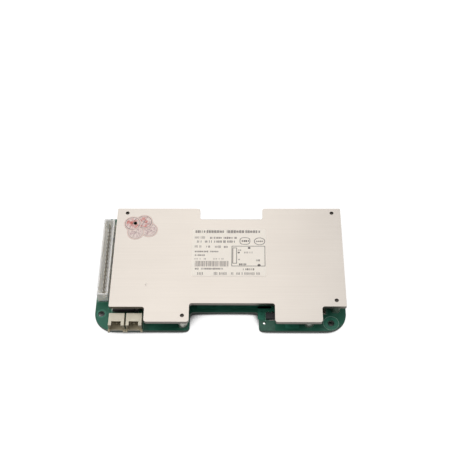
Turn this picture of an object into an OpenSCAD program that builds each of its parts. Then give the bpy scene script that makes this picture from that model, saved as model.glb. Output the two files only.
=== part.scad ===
// Battery management board: a power circuit board under an aluminium heat-spreader plate.
// Millimetres, +X to the right, +Y to the back, +Z up. The origin is at the middle of the footprint,
// at the level of the surface that the board's screw heads stand on.
// Places on the board are measured from its front left corner.

/* [Board] */
// Width of the circuit board, left to right
board_w = 128; // [128:0.5:136]
// Depth of the circuit board, front to back
board_d = 69.4; // [69.4:0.5:75.4]
// Thickness of the circuit board
board_t = 1.6; // [1.0:0.1:2.4]
// Radius of the two front corners of the board
board_corner_r = 10; // [2:0.5:10]
// Diameter of the two fixing holes
fixing_hole_d = 3.2; // [2.5:0.1:3.6]

/* [Cable notch] */
// Left side of the notch, from the board's left edge
notch_x = 48.6; // [48:0.1:50]
// Width of the notch in the board
notch_w = 35.1; // [28:0.1:36]
// Depth of the notch in the board
notch_d = 10.8; // [8:0.1:11]

/* [Heat spreader plate] */
// Thickness of the plate
plate_t = 2; // [1.5:0.1:3]
// Bare strip of board left of the plate, where the balance header stands
plate_inset = 8; // [7.5:0.1:8.5]
// How far the plate reaches past the board's back edge
plate_overhang = 0.6; // [0:0.1:0.8]
// Depth of the plate's back notch
back_notch_d = 7.2; // [4:0.1:7.2]
// Radius of the small corners of the plate's outline
plate_corner_r = 1.4; // [0.5:0.1:2]
// Height of the spacers, which is the gap between board and plate
spacer_h = 7; // [6.6:0.1:9]

/* [Screws] */
// Nominal diameter of the screws that join board, spacers and plate
screw_d = 2.5; // [2:0.1:2.6]
// Height of the screw heads, on which the board stands
screw_head_h = 2; // [1.9:0.1:2.5]

/* [Balance header] */
// Number of ways
balance_ways = 18; // [8:1:18]
// Distance between neighbouring pins
balance_pitch = 2.5; // [2:0.1:2.5]
// Width of the housing, across the row of pins
balance_w = 5.7; // [5:0.1:6]
// Height of the housing above the board
balance_h = 7; // [6:0.1:8]

/* [Side entry headers] */
// Ways in each of the two small headers
port_ways = 3; // [2:1:3]
// Distance between neighbouring pins
port_pitch = 2; // [1.5:0.1:2]
// Height of a small header above the board
port_h = 4.8; // [4.2:0.1:5.5]
// How far the feet reach past the board's front edge
port_overhang = 1.4; // [0.5:0.1:1.5]

/* [Power transistors] */
// Transistors in each of the two rows
fets_per_row = 6; // [3:1:6]
// Distance between neighbouring transistors
fet_pitch = 12; // [11:0.1:12]
// Height of a transistor above the board
fet_h = 4.4; // [3.5:0.1:5]
// Current-sense shunts side by side
shunt_count = 4; // [2:1:4]

/* [Label] */
// Width of the paper label
label_w = 38.7; // [30:0.1:44]
// Depth of the paper label
label_d = 29.5; // [20:0.1:34]

/* [Hidden] */
$fn = 48;
small_fn = 24;
eps = 0.01;

board_z = screw_head_h;
top_z = board_z + board_t;
plate_z = top_z + spacer_h;
plate_top_z = plate_z + plate_t;
film_t = 0.1;

// Outline of the plate, from the board's front left corner.
plate_right = board_w - 0.25;
plate_back = board_d + plate_overhang;
tab_left = [26, 48.55];
tab_right = [board_w - 36.3, board_w - 12.6];
plate_front_left_y = 8.55;
plate_front_notch_y = 10.77;
plate_front_right_y = 9.05;
back_notch = [52.6, 85.9];

// Fastenings: each spacer stands under a tapped hole of the plate.
spacer_at = [[13.4, plate_back - 3], [board_w - 5, plate_back - 3], [board_w - 5.2, 12.6], [45.2, 3.6]];
spacer_d = 4.8;
clear_d = screw_d + 0.2;
tapped_d = screw_d - 0.4;
screw_head_d = 2 * screw_d;
screw_stop = 1;
fixing_at = [[3.3, 9.6], [board_w - 7.8, 4.5]];
seal_hole_at = [18.1, 60.2];
seal_hole_d = 2;
punch_mark_at = [26.2, 21.6];
pillar_at = [board_w - 19, 4.7];
pillar_d = 5.6;

// Balance header, upright, with its pins nearer to the plate.
balance_x = 0.9;
balance_end = 2.45;
balance_l = (balance_ways - 1) * balance_pitch + 2 * balance_end;
balance_y = 40.7 - balance_l / 2;
balance_wall = 0.75;
balance_floor = 1.3;
balance_pin_x = balance_x + 2.8;
pin_w = 0.64;
pin_hole_d = 1;
pin_tail = 1.6;
balance_pin_y = [for (i = [0 : balance_ways - 1]) balance_y + balance_end + i * balance_pitch];

// Side-entry headers.
port_w = (port_ways - 1) * port_pitch + 3.9;
port_l = 7.5;
port_step = 8.85;
port_x = [11.85, 11.85 + port_step];
port_wall = 0.8;
port_floor = 0.7;
port_mouth_l = 5.4;
port_pin_w = 0.5;
port_pin_z = 2.3;
port_tail_y = port_l - 0.35 - port_pin_w;
port_pin_dx = [for (i = [0 : port_ways - 1]) (i - (port_ways - 1) / 2) * port_pitch];

// Power stage: two rows of transistors back to back, with their tabs on a common copper bar.
fet_w = 10;
fet_l = 9;
fet_tab_t = 1.27;
fet_tab_reach = 1.4;
fet_lead_reach = 4.6;
fet_row_x = [for (i = [0 : fets_per_row - 1]) 54 + i * fet_pitch];
fet_front_y = 24;
fet_back_y = 52;
bar_t = 1;
bar_x = fet_row_x[0] - fet_w / 2;
bar_l = (fets_per_row - 1) * fet_pitch + fet_w;
shunt_x = [for (i = [0 : shunt_count - 1]) board_w - 33 + i * 7];
shunt_size = [3.2, 6.4, 1];

// Round black capacitor lying behind the small headers.
can_d = 6.3;
can_l = 14;
can_at = [8.9, 12.3];
can_lead_gap = 2.5;
can_lead_d = 0.6;

// Cable pads.
battery_pad = [notch_x + notch_w, 0, 8.2, 5.8];
battery_hole_at = [86.5, 4.4];
load_pad = [54.6, board_d - 6.3, 29.4, 5.8];
load_holes = [for (i = [0 : 2]) [60.3 + 9 * i, board_d - 3.5]];
pad_hole_d = 1;

// Places of the small parts.
balance_part_y = balance_pin_y;
chip_cap_at = [for (i = [0 : 3]) [23.5 + 3.4 * i, 57.6], for (i = [0 : 3]) [25.2, 27.6 + 3.2 * i],
               for (i = [0 : 2]) [30 + 4.2 * i, 13.2]];

// ---- Helpers ----

function unit(v) = v / norm(v);

// Corners are [x, y, radius]. Each becomes an arc that touches both of its sides.
function corner_arc(a, p, b, r) =
    let (steps = r > 3 ? 16 : 6, u = unit([a.x - p.x, a.y - p.y]), v = unit([b.x - p.x, b.y - p.y]),
         half = acos(u * v) / 2, c = [p.x, p.y] + unit(u + v) * r / sin(half),
         from = [p.x, p.y] + u * r / tan(half) - c, to = [p.x, p.y] + v * r / tan(half) - c,
         start = atan2(from.y, from.x), turn = atan2(to.y, to.x) - start,
         sweep = turn > 180 ? turn - 360 : turn < -180 ? turn + 360 : turn)
    [for (k = [0 : steps]) c + r * [cos(start + sweep * k / steps), sin(start + sweep * k / steps)]];

function round_corners(pts) =
    let (n = len(pts))
    [for (i = [0 : n - 1])
        each pts[i][2] == 0 ? [[pts[i].x, pts[i].y]]
            : corner_arc(pts[(i + n - 1) % n], pts[i], pts[(i + 1) % n], pts[i][2])];

function box_corners(x0, y0, x1, y1, r) = [[x0, y0, r], [x1, y0, r], [x1, y1, r], [x0, y1, r]];

module round_box(x0, y0, x1, y1, r, h) {
    linear_extrude(h) polygon(round_corners(box_corners(x0, y0, x1, y1, r)));
}

// Puts its children at a height, in the board's own coordinates.
module at_board(z = 0) {
    translate([-board_w / 2, -(plate_back - port_overhang) / 2, z]) children();
}

// Extrudes a (y, z) profile along X, centred on X = 0.
module extrude_x(length) {
    translate([-length / 2, 0, 0]) rotate([90, 0, 90]) linear_extrude(length) children();
}

// Upright square pin with a chamfered point at each end.
module square_pin(w, length, tip = 0.5) {
    slim = w / 4;
    profile = [[-slim, 0], [slim, 0], [w / 2, tip], [w / 2, length - tip],
               [slim, length], [-slim, length], [-w / 2, length - tip], [-w / 2, tip]];
    intersection() {
        extrude_x(w) polygon(profile);
        rotate([0, 0, 90]) extrude_x(w) polygon(profile);
    }
}

// Lead that leaves a body at y = 0, runs to -Y, bends down and lies on z = 0.
module gull_lead(w, t, rise, knee, reach) {
    extrude_x(w) polygon([[eps, rise - t], [eps, rise], [-knee - t, rise], [-knee - t, t],
                          [-reach, t], [-reach, 0], [-knee, 0], [-knee, rise - t]]);
}

// ---- Board ----

module board_outline() {
    polygon(round_corners([
        [0, 0, board_corner_r], [notch_x, 0, 2.2], [notch_x, notch_d, 2],
        [notch_x + notch_w, notch_d, 2], [notch_x + notch_w, 0, 2],
        [board_w, 0, board_corner_r], [board_w, board_d, 1], [0, board_d, 1]]));
}

module pcb() {
    color("#3f6e5c") at_board(board_z) difference() {
        linear_extrude(board_t) board_outline();
        translate([0, 0, -1]) {
            for (p = fixing_at) translate(p) cylinder(d = fixing_hole_d, h = board_t + 2);
            for (p = spacer_at) translate(p) cylinder(d = clear_d, h = board_t + 2);
            for (p = concat([battery_hole_at], load_holes))
                translate(p) cylinder(d = pad_hole_d, h = board_t + 2, $fn = small_fn);
            for (y = balance_pin_y)
                translate([balance_pin_x, y, 0]) cylinder(d = pin_hole_d, h = board_t + 2, $fn = small_fn);
            for (x = port_x, dx = port_pin_dx)
                translate([x + dx, port_tail_y + port_pin_w / 2, 0])
                    cylinder(d = pin_hole_d, h = board_t + 2, $fn = small_fn);
            for (s = [-1, 1])
                translate([can_at.x + can_l + 1.6, can_at.y + s * can_lead_gap / 2, 0])
                    cylinder(d = pin_hole_d, h = board_t + 2, $fn = small_fn);
        }
    }
}

// Tinned area; its front left corner follows the board's corner where it lies next to one.
module plating(pad, holes, corner_r = 0.4) {
    x0 = pad[0] + 0.1;
    y0 = pad[1] + 0.1;
    x1 = pad[0] + pad[2];
    y1 = pad[1] + pad[3];
    color("#5b7a6c") at_board(top_z) difference() {
        linear_extrude(film_t)
            polygon(round_corners([[x0, y0, corner_r], [x1, y0, 0.4], [x1, y1, 0.4], [x0, y1, 0.4]]));
        for (p = holes)
            translate([p.x, p.y, -1]) cylinder(d = pad_hole_d, h = 2, $fn = small_fn);
    }
}

// ---- Heat-spreader plate, label and seals ----

module plate_outline() {
    r = plate_corner_r;
    inner_y = plate_back - back_notch_d;
    polygon(round_corners([
        [plate_inset, plate_front_left_y, 0.6], [tab_left[0], plate_front_left_y, r], [tab_left[0], 0, r],
        [tab_left[1], 0, r], [tab_left[1], plate_front_notch_y, r], [tab_right[0], plate_front_notch_y, r],
        [tab_right[0], 0, r], [tab_right[1], 0, r], [tab_right[1], plate_front_right_y, r],
        [plate_right, plate_front_right_y, 0.6], [plate_right, plate_back, 0.5],
        [back_notch[1], plate_back, r], [back_notch[1], inner_y, r],
        [back_notch[0], inner_y, r], [back_notch[0], plate_back, r], [plate_inset, plate_back, 0.5]]));
}

module heatsink_plate() {
    color("#dcd6cc") at_board(plate_z) difference() {
        linear_extrude(plate_t) plate_outline();
        for (p = spacer_at) translate([p.x, p.y, -1]) cylinder(d = tapped_d, h = plate_t + 2);
        translate([seal_hole_at.x, seal_hole_at.y, -1]) cylinder(d = seal_hole_d, h = plate_t + 2);
        translate([punch_mark_at.x, punch_mark_at.y, plate_t + 0.3]) sphere(d = 1.2, $fn = small_fn);
    }
}

module label() {
    color("white") at_board(plate_top_z)
        round_box(48.9, 26.85, 48.9 + label_w, 26.85 + label_d, 0.8, film_t);
}

// Four round films, each stuck partly over the one before.
module warranty_seals() {
    seal_d = 9.2;
    color("#d9b3ab") at_board(plate_top_z) difference() {
        union() {
            for (s = [[16.65, 60, 0.14], [22.75, 60.95, 0.12], [18.55, 54.35, 0.1], [25.75, 55.9, 0.08]])
                translate([s.x, s.y, 0]) cylinder(d = seal_d, h = s[2]);
        }
        translate([seal_hole_at.x, seal_hole_at.y, -1]) cylinder(d = seal_hole_d - 0.2, h = 2);
    }
}

// ---- Spacers and screws ----

module spacer(at) {
    color("#a8a8a2") at_board(top_z) translate(at) difference() {
        cylinder(d = spacer_d, h = spacer_h);
        translate([0, 0, -1]) cylinder(d = clear_d, h = spacer_h + 2);
    }
}

// Pan-head screw, head down, with a cross recess. Its thread is drawn at the core where it bites.
module spacer_screw() {
    recess_d = 0.45 * screw_head_d;
    difference() {
        union() {
            cylinder(d = screw_head_d, h = screw_head_h);
            cylinder(d = screw_d, h = plate_z);
            cylinder(d = tapped_d, h = plate_top_z - screw_stop);
        }
        for (a = [0, 90]) rotate(a)
            translate([-recess_d / 2, -0.3, -1]) cube([recess_d, 0.6, 1 + screw_head_h / 2]);
    }
}

module spacer_screws() {
    color("#b9b9b4") at_board() for (p = spacer_at) translate(p) spacer_screw();
}

// Round stud that holds up the plate's right tab.
module support_pillar() {
    color("#9b9b96") at_board(top_z) translate(pillar_at)
        rotate_extrude() polygon([[0, 0], [pillar_d / 2, 0], [pillar_d / 2, spacer_h - 0.3],
                                  [pillar_d / 2 - 0.3, spacer_h], [0, spacer_h]]);
}

// ---- Balance header ----

// Open shroud with a floor, two polarising slots in its outer wall and a rib at each end inside.
module balance_header() {
    x1 = balance_x + balance_w;
    y1 = balance_y + balance_l;
    slot_w = 1.8;
    rib = 0.5;
    color("#d6d2c8") at_board(top_z) difference() {
        round_box(balance_x, balance_y, x1, y1, 0.3, balance_h);
        translate([0, 0, balance_floor])
            round_box(balance_x + balance_wall, balance_y + balance_wall, x1 - balance_wall,
                      y1 - balance_wall, 0.2, balance_h);
        for (y = [balance_y + 2.6, y1 - 2.6 - slot_w])
            translate([balance_x - 1, y, balance_floor + 1]) cube([balance_wall + 1.5, slot_w, balance_h]);
        for (y = [balance_y - rib, y1 - rib])
            translate([x1 - 2.2, y, balance_h - 2.5]) cube([1, 2 * rib, balance_h]);
        for (y = balance_pin_y)
            translate([balance_pin_x - pin_w / 2, y - pin_w / 2, -1]) cube([pin_w, pin_w, balance_h]);
    }
}

module balance_header_pins() {
    length = balance_h - 0.9 + board_t + pin_tail;
    color("#c9c3a5") at_board(board_z - pin_tail)
        for (y = balance_pin_y) translate([balance_pin_x, y, 0]) square_pin(pin_w, length);
}

// ---- Side-entry headers ----

// Housing that opens to the front: mouth, window in the roof, grooves for the pins at the back,
// a slot in each side wall and a flared foot at each front corner.
module port_header(x) {
    inner = port_w - 2 * port_wall;
    window_w = 4.8;
    window_l = 2.6;
    groove_w = port_pin_w + 0.2;
    foot_h = 1.3;
    color("#cdc7b8") at_board(top_z) translate([x, 0, 0]) difference() {
        union() {
            extrude_x(port_w) polygon([[-0.1, 0], [0.25, port_h], [port_l - 0.3, port_h],
                                       [port_l, port_h - 0.3], [port_l, 0]]);
            for (s = [-1, 1]) scale([s, 1, 1])
                linear_extrude(foot_h) polygon([[port_w / 2 - port_wall, 1.6], [port_w / 2, 1.6],
                    [port_w / 2 + 0.35, -0.6], [port_w / 2 + 0.35, -port_overhang],
                    [port_w / 2 - 0.6, -port_overhang], [port_w / 2 - port_wall, -0.1]]);
        }
        translate([-inner / 2, -2, port_floor])
            cube([inner, 2 + port_mouth_l, port_h - port_floor - port_wall]);
        translate([-window_w / 2, -2, port_h - 1.5]) cube([window_w, 2 + window_l, 2]);
        for (s = [-1, 1]) translate([s * port_w / 2 - 1, 1.8, 1.5]) cube([2, 2.6, 1.2]);
        for (dx = port_pin_dx) {
            translate([dx - groove_w / 2, port_tail_y - 0.1, -1]) cube([groove_w, 2, port_pin_z + 1.4]);
            translate([dx - port_pin_w / 2, 0, port_pin_z - port_pin_w / 2])
                cube([port_pin_w, port_l, port_pin_w]);
        }
    }
}

// Pins run back through the housing, turn down in their grooves and go through the board.
module port_header_pins(x) {
    reach = port_tail_y + port_pin_w;
    drop = port_pin_z + port_pin_w / 2;
    color("#c9c3a5") at_board(top_z) for (dx = port_pin_dx) translate([x + dx, 0, 0])
        extrude_x(port_pin_w) polygon([[2.6, drop - port_pin_w + 0.12], [2.6, drop - 0.12], [3, drop],
            [reach, drop], [reach, -board_t - pin_tail], [port_tail_y, -board_t - pin_tail],
            [port_tail_y, drop - port_pin_w], [3, drop - port_pin_w]]);
}

// ---- Power stage ----

// Surface-mount power transistor: front of its body at y = 0, leads to -Y, tab to +Y.
module mosfet() {
    lead_pitch = 2.54;
    color("#2a2a2e") extrude_x(fet_w)
        polygon([[0.12, 0], [0, 2.2], [0.4, fet_h], [fet_l - 0.3, fet_h], [fet_l, fet_tab_t], [fet_l, 0]]);
    color("#b4b4b0") {
        linear_extrude(fet_tab_t) polygon([[-fet_w / 2, fet_l - 1], [fet_w / 2, fet_l - 1],
            [fet_w / 2, fet_l + 0.6], [fet_w / 2 - 0.8, fet_l + fet_tab_reach],
            [-fet_w / 2 + 0.8, fet_l + fet_tab_reach], [-fet_w / 2, fet_l + 0.6]]);
        for (s = [-1, 1]) translate([s * lead_pitch, 0.1, 0]) gull_lead(0.9, 0.5, 2.4, 1.6, fet_lead_reach);
        translate([-0.6, -0.9, 1.9]) cube([1.2, 1.2, 0.5]);
    }
}

// Numbers below fets_per_row are the front row, the rest the back row, turned round.
module mosfet_at(i) {
    back_row = i >= fets_per_row;
    x = fet_row_x[i % fets_per_row];
    at_board(top_z) translate([x, back_row ? fet_back_y : fet_front_y, 0])
        rotate(back_row ? 180 : 0) mosfet();
}

module thermal_pad(y) {
    color("#8f9aa3") at_board(top_z + fet_h)
        round_box(bar_x - 1, y, bar_x + bar_l + 1, y + fet_l, 0.8, spacer_h - fet_h);
}

module copper_bar(y, w) {
    color("#c8b48c") at_board(top_z) round_box(bar_x, y, bar_x + bar_l, y + w, 0.5, bar_t);
}

module shunt(x) {
    w = shunt_size.x;
    l = shunt_size.y;
    h = shunt_size.z;
    foot = 1.4;
    color("#7f7a70") at_board(top_z) translate([x, 10, 0]) extrude_x(w)
        polygon([[0, 0], [foot, 0], [foot + 0.2, 0.25], [l - foot - 0.2, 0.25], [l - foot, 0], [l, 0],
                 [l, h - 0.15], [l - foot, h - 0.15], [l - foot - 0.4, h], [foot + 0.4, h],
                 [foot, h - 0.15], [0, h - 0.15]]);
}

// ---- Supply and control parts ----

// Sleeved can lying on the board, with a rolled-in groove near its sealed end.
module supply_capacitor() {
    r = can_d / 2;
    color("#2b292b") at_board(top_z + r) translate([can_at.x, can_at.y, 0]) rotate([0, 90, 0])
        rotate_extrude() polygon(concat([[0, 0], [r - 0.9, 0], [r - 0.25, 0.25], [r, 0.8]],
            [for (a = [0 : 15 : 180]) [r - 0.35 * sin(a), can_l - 2.6 + 0.9 * a / 180]],
            [[r, can_l - 0.5], [r - 0.5, can_l], [0, can_l]]));
}

module supply_capacitor_leads() {
    r = can_d / 2;
    bend = 1.6;
    color("#c4c4bf") for (s = [-1, 1])
        at_board(top_z) translate([can_at.x + can_l, can_at.y + s * can_lead_gap / 2, 0]) {
            translate([0, 0, r]) rotate([0, 90, 0]) cylinder(d = can_lead_d, h = bend, $fn = small_fn);
            translate([bend, 0, r]) sphere(d = can_lead_d, $fn = small_fn);
            translate([bend, 0, -board_t - pin_tail])
                cylinder(d = can_lead_d, h = r + board_t + pin_tail, $fn = small_fn);
        }
}

// Shielded inductor: square ferrite block with its round core showing on top.
module supply_inductor() {
    w = 7;
    h = 4;
    color("#3a3a3c") at_board(top_z) translate([40, 57, 0]) difference() {
        round_box(-w / 2, -w / 2, w / 2, w / 2, 1.2, h);
        translate([0, 0, h - 0.4]) difference() {
            cylinder(d = 5.9, h = 1);
            translate([0, 0, -1]) cylinder(d = 5.1, h = 3);
        }
    }
}

// Flat square package with gull-wing leads on all four sides.
module quad_chip(size, leads, pitch) {
    h = 1.5;
    color("#26262a") round_box(-size / 2, -size / 2, size / 2, size / 2, 0.3, h);
    color("#b9b9b4") for (turn = [0, 90, 180, 270]) rotate(turn)
        for (i = [0 : leads - 1]) translate([(i - (leads - 1) / 2) * pitch, -size / 2, 0])
            gull_lead(0.22, 0.15, 0.85, 0.35, 1);
}

// Small package with leads on its two long sides, four a side.
module dual_chip() {
    size = [4.9, 3.9];
    h = 1.6;
    color("#26262a") extrude_x(size.x) polygon([[-size.y / 2, 0.15], [size.y / 2, 0.15],
        [size.y / 2, 1], [size.y / 2 - 0.25, h], [-size.y / 2 + 0.25, h], [-size.y / 2, 1]]);
    color("#b9b9b4") for (turn = [0, 180]) rotate(turn)
        for (i = [0 : 3]) translate([(i - 1.5) * 1.27, -size.y / 2, 0]) gull_lead(0.42, 0.2, 0.95, 0.4, 1.05);
}

// Three-lead transistor body, two leads to -Y and one to +Y.
module small_transistor() {
    color("#26262a") translate([-1.45, -0.65, 0.1]) cube([2.9, 1.3, 0.95]);
    color("#b9b9b4") {
        for (x = [-0.95, 0.95]) translate([x, -0.65, 0]) gull_lead(0.42, 0.15, 0.6, 0.2, 0.6);
        rotate(180) translate([0, -0.65, 0]) gull_lead(0.42, 0.15, 0.6, 0.2, 0.6);
    }
}

// Larger transistor behind the battery pad: three leads to the back, the end of its heat tab in front.
module sense_transistor() {
    w = 6.5;
    d = 3.5;
    at_board(top_z) translate([90.5, 8.05, 0]) {
        color("#26262a") extrude_x(w)
            polygon([[-d / 2, 0.1], [d / 2, 0.1], [d / 2, 0.9], [d / 2 - 0.15, 1.7],
                     [-d / 2 + 0.15, 1.7], [-d / 2, 0.9]]);
        color("#b9b9b4") {
            rotate(180) for (x = [-2.3, 0, 2.3])
                translate([x, -d / 2, 0]) gull_lead(0.7, 0.25, 0.9, 0.35, 1.3);
            translate([-1.5, -d / 2 - 0.4, 0]) cube([3, 0.8, 0.25]);
        }
    }
}

module crystal() {
    color("#c2c2bd") at_board(top_z) translate([34, 22, 0]) {
        round_box(-5.7, -2.3, 5.7, 2.3, 2.2, 0.5);
        round_box(-5.1, -1.8, 5.1, 1.8, 1.7, 3.5);
    }
}

module surge_diode(at) {
    color("#2a2a2e") at_board(top_z) translate(at) {
        extrude_x(6.8) polygon([[-2.9, 0.1], [2.9, 0.1], [2.9, 1.2], [2.7, 2.3], [-2.7, 2.3], [-2.9, 1.2]]);
        for (s = [-1, 1]) translate([s * 3.4 - 0.5, -1.5, 0]) cube([1, 3, 1.2]);
    }
}

// Chip part: ceramic body with a plated cap on each end, long side along X.
module chip_part(l, w, h, cap) {
    translate([-l / 2 + cap / 2, -w / 2, 0.04]) cube([l - cap, w, h - 0.08]);
    for (s = [-1, 1]) translate([s * (l - cap) / 2 - cap / 2, -w / 2 - 0.03, 0]) cube([cap, w + 0.06, h]);
}

module balance_resistors() {
    color("#3a3a3a") at_board(top_z)
        for (y = balance_part_y) translate([9.9, y, 0]) chip_part(3.2, 1.6, 0.6, 0.5);
}

// Staggered in two columns, because each is longer than the pitch of the header.
module balance_transistors() {
    at_board(top_z) for (i = [0 : balance_ways - 1])
        translate([i % 2 == 0 ? 14.9 : 19, balance_part_y[i], 0]) rotate(90) small_transistor();
}

module ceramic_capacitors() {
    color("#b39a72") at_board(top_z) for (p = chip_cap_at) translate(p) chip_part(2, 1.25, 0.9, 0.4);
}

// Cone of solder round every pin tail under the board.
module solder_cone(pin) {
    difference() {
        rotate([180, 0, 0]) cylinder(d1 = 1.9, d2 = 0.9, h = 0.9, $fn = small_fn);
        translate([-pin / 2, -pin / 2, -2]) cube([pin, pin, 3]);
    }
}

module solder_joints() {
    lead_hole = can_lead_d / 2;
    color("#c8c8c4") at_board(board_z) {
        for (y = balance_pin_y) translate([balance_pin_x, y, 0]) solder_cone(pin_w);
        for (x = port_x, dx = port_pin_dx)
            translate([x + dx, port_tail_y + port_pin_w / 2, 0]) solder_cone(port_pin_w);
        for (s = [-1, 1])
            translate([can_at.x + can_l + 1.6, can_at.y + s * can_lead_gap / 2, 0]) difference() {
                rotate([180, 0, 0]) cylinder(d1 = 1.9, d2 = 0.9, h = 0.9, $fn = small_fn);
                translate([0, 0, -2]) cylinder(r = lead_hole, h = 3, $fn = small_fn);
            }
    }
}

pcb();
plating(battery_pad, [battery_hole_at], 1.9);  // battery_pad_plating
plating(load_pad, load_holes);  // load_pad_plating
heatsink_plate();
label();
warranty_seals();
for (i = [0 : len(spacer_at) - 1])
    spacer(spacer_at[i]);
spacer_screws();
support_pillar();
balance_header();
balance_header_pins();
port_header(port_x[0]);  // port_header_left
port_header(port_x[1]);  // port_header_right
port_header_pins(port_x[0]);  // port_header_left_pins
port_header_pins(port_x[1]);  // port_header_right_pins
for (i = [0 : 2 * fets_per_row - 1])
    mosfet_at(i);
thermal_pad(fet_front_y);  // thermal_pad_front
thermal_pad(fet_back_y - fet_l);  // thermal_pad_back
copper_bar(35.4, 5.2);  // drain_bar
copper_bar(16.9, 2.2);  // source_bar_front
copper_bar(57, 2.2);  // source_bar_back
for (i = [0 : shunt_count - 1])
    shunt(shunt_x[i]);
supply_capacitor();
supply_capacitor_leads();
supply_inductor();
at_board(top_z) translate([29, 49, 0]) quad_chip(7, 12, 0.5);  // monitor_chip
at_board(top_z) translate([33, 32, 0]) quad_chip(7, 12, 0.5);  // controller_chip
crystal();
at_board(top_z) translate([42, 47, 0]) dual_chip();  // driver_chip_1
at_board(top_z) translate([42, 38, 0]) dual_chip();  // driver_chip_2
surge_diode([29.5, 63.5]);  // surge_diode_1
surge_diode([43, 65.5]);  // surge_diode_2
sense_transistor();
balance_resistors();
balance_transistors();
ceramic_capacitors();
solder_joints();
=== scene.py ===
import math

import bmesh
import bpy
import numpy as np
from mathutils import Matrix, Vector


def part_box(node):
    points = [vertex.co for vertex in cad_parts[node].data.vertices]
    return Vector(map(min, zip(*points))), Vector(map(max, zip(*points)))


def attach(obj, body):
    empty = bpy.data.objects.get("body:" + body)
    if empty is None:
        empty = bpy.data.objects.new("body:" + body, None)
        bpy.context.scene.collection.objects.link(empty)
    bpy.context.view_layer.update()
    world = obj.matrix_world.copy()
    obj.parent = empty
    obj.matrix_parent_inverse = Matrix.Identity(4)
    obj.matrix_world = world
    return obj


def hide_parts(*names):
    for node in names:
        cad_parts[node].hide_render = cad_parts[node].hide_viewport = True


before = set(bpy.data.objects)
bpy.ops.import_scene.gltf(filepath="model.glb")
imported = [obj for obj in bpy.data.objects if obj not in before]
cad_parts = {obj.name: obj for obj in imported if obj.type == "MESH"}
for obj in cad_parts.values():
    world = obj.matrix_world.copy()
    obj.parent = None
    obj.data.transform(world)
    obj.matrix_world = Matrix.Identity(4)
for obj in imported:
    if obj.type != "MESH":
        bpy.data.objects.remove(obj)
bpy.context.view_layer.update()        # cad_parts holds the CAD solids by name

mm = 0.001
rng = np.random.default_rng(18)      # one seeded source for every scattered mark
sharpAngle = 35                      # degrees past which an edge of a new piece stays sharp
flatAngle = 0.5                      # degrees up to which faces of a CAD solid count as one
newMerge, copyMerge = 1e-7, 1e-6     # metres within which points of new and copied meshes merge


def boxOf(nodeName):
    low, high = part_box(nodeName)
    return np.array(low), np.array(high)


# Places that the rest is measured from, all in metres and all read from the CAD solids.
boardLow, boardHigh = boxOf("pcb")
boardTop, boardUnder = boardHigh[2], boardLow[2]
plateTop = boxOf("heatsink_plate")[1][2]


# Millimetres from the board's front left corner, height above the floor in metres.
def onBoard(x, y, z=0.0):
    return np.array([boardLow[0] + x * mm, boardLow[1] + y * mm, z])


# Colours are written as the eye sees them; shaders want them linear.
def linear(hexColour):
    parts = [int(hexColour[i:i + 2], 16) / 255 for i in (1, 3, 5)]
    return [c / 12.92 if c <= 0.04045 else ((c + 0.055) / 1.055) ** 2.4 for c in parts] + [1.0]


# Adds one shader node. Settings are its own properties or, by socket name or number, its values.
def addNode(tree, kind, settings=None, links=None):
    node = tree.nodes.new(kind)
    for key, value in (settings or {}).items():
        if isinstance(key, str) and hasattr(node, key):
            setattr(node, key, value)
        else:
            node.inputs[key].default_value = value
    for key, socket in (links or {}).items():
        tree.links.new(socket, node.inputs[key])
    return node


# Starts a material: a Principled shader with constant values, and Object coordinates in metres.
def startMaterial(name, hexColour, roughness, metallic=0.0, **values):
    material = bpy.data.materials.new(name)
    material.use_nodes = True
    tree = material.node_tree
    shader = tree.nodes["Principled BSDF"]
    values.update(Base_Color=linear(hexColour), Roughness=roughness, Metallic=metallic)
    for key, value in values.items():
        shader.inputs[key.replace("_", " ")].default_value = value
    coords = addNode(tree, "ShaderNodeTexCoord")
    return material, tree, shader, coords.outputs["Object"]


# Noise stretched to a grain size given in millimetres, one for all or one each along X, Y and Z.
def grain(tree, coords, sizeMm, detail=2.0, rough=0.5):
    scale = [1 / (size * mm) for size in np.broadcast_to(sizeMm, 3)]
    mapping = addNode(tree, "ShaderNodeMapping", {"Scale": scale}, {"Vector": coords})
    noise = addNode(tree, "ShaderNodeTexNoise", {"Scale": 1.0, "Detail": detail, "Roughness": rough},
                    {"Vector": mapping.outputs["Vector"]})
    return noise.outputs["Fac"]


# The colour that a 0 to 1 pattern picks between two tones, which it reaches at the two values of span.
def blendTones(tree, pattern, tones, span=(0.3, 0.7)):
    share = addNode(tree, "ShaderNodeMapRange", {"From Min": span[0], "From Max": span[1]},
                    {"Value": pattern})
    mix = addNode(tree, "ShaderNodeMix", {"data_type": "RGBA", 6: linear(tones[0]), 7: linear(tones[1])},
                  {0: share.outputs["Result"]})
    return mix.outputs[2]


# Lets a 0 to 1 pattern steer a shader: its colour between two tones, its roughness between two
# values, and relief in millimetres.
def steerShader(tree, shader, pattern, tones=None, roughness=None, reliefMm=0.0):
    if tones:
        tree.links.new(blendTones(tree, pattern, tones), shader.inputs["Base Color"])
    if roughness:
        spread = addNode(tree, "ShaderNodeMapRange", {"To Min": roughness[0], "To Max": roughness[1]},
                         {"Value": pattern})
        tree.links.new(spread.outputs["Result"], shader.inputs["Roughness"])
    if reliefMm:
        bump = addNode(tree, "ShaderNodeBump", {"Distance": reliefMm * mm}, {"Height": pattern})
        tree.links.new(bump.outputs["Normal"], shader.inputs["Normal"])
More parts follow.
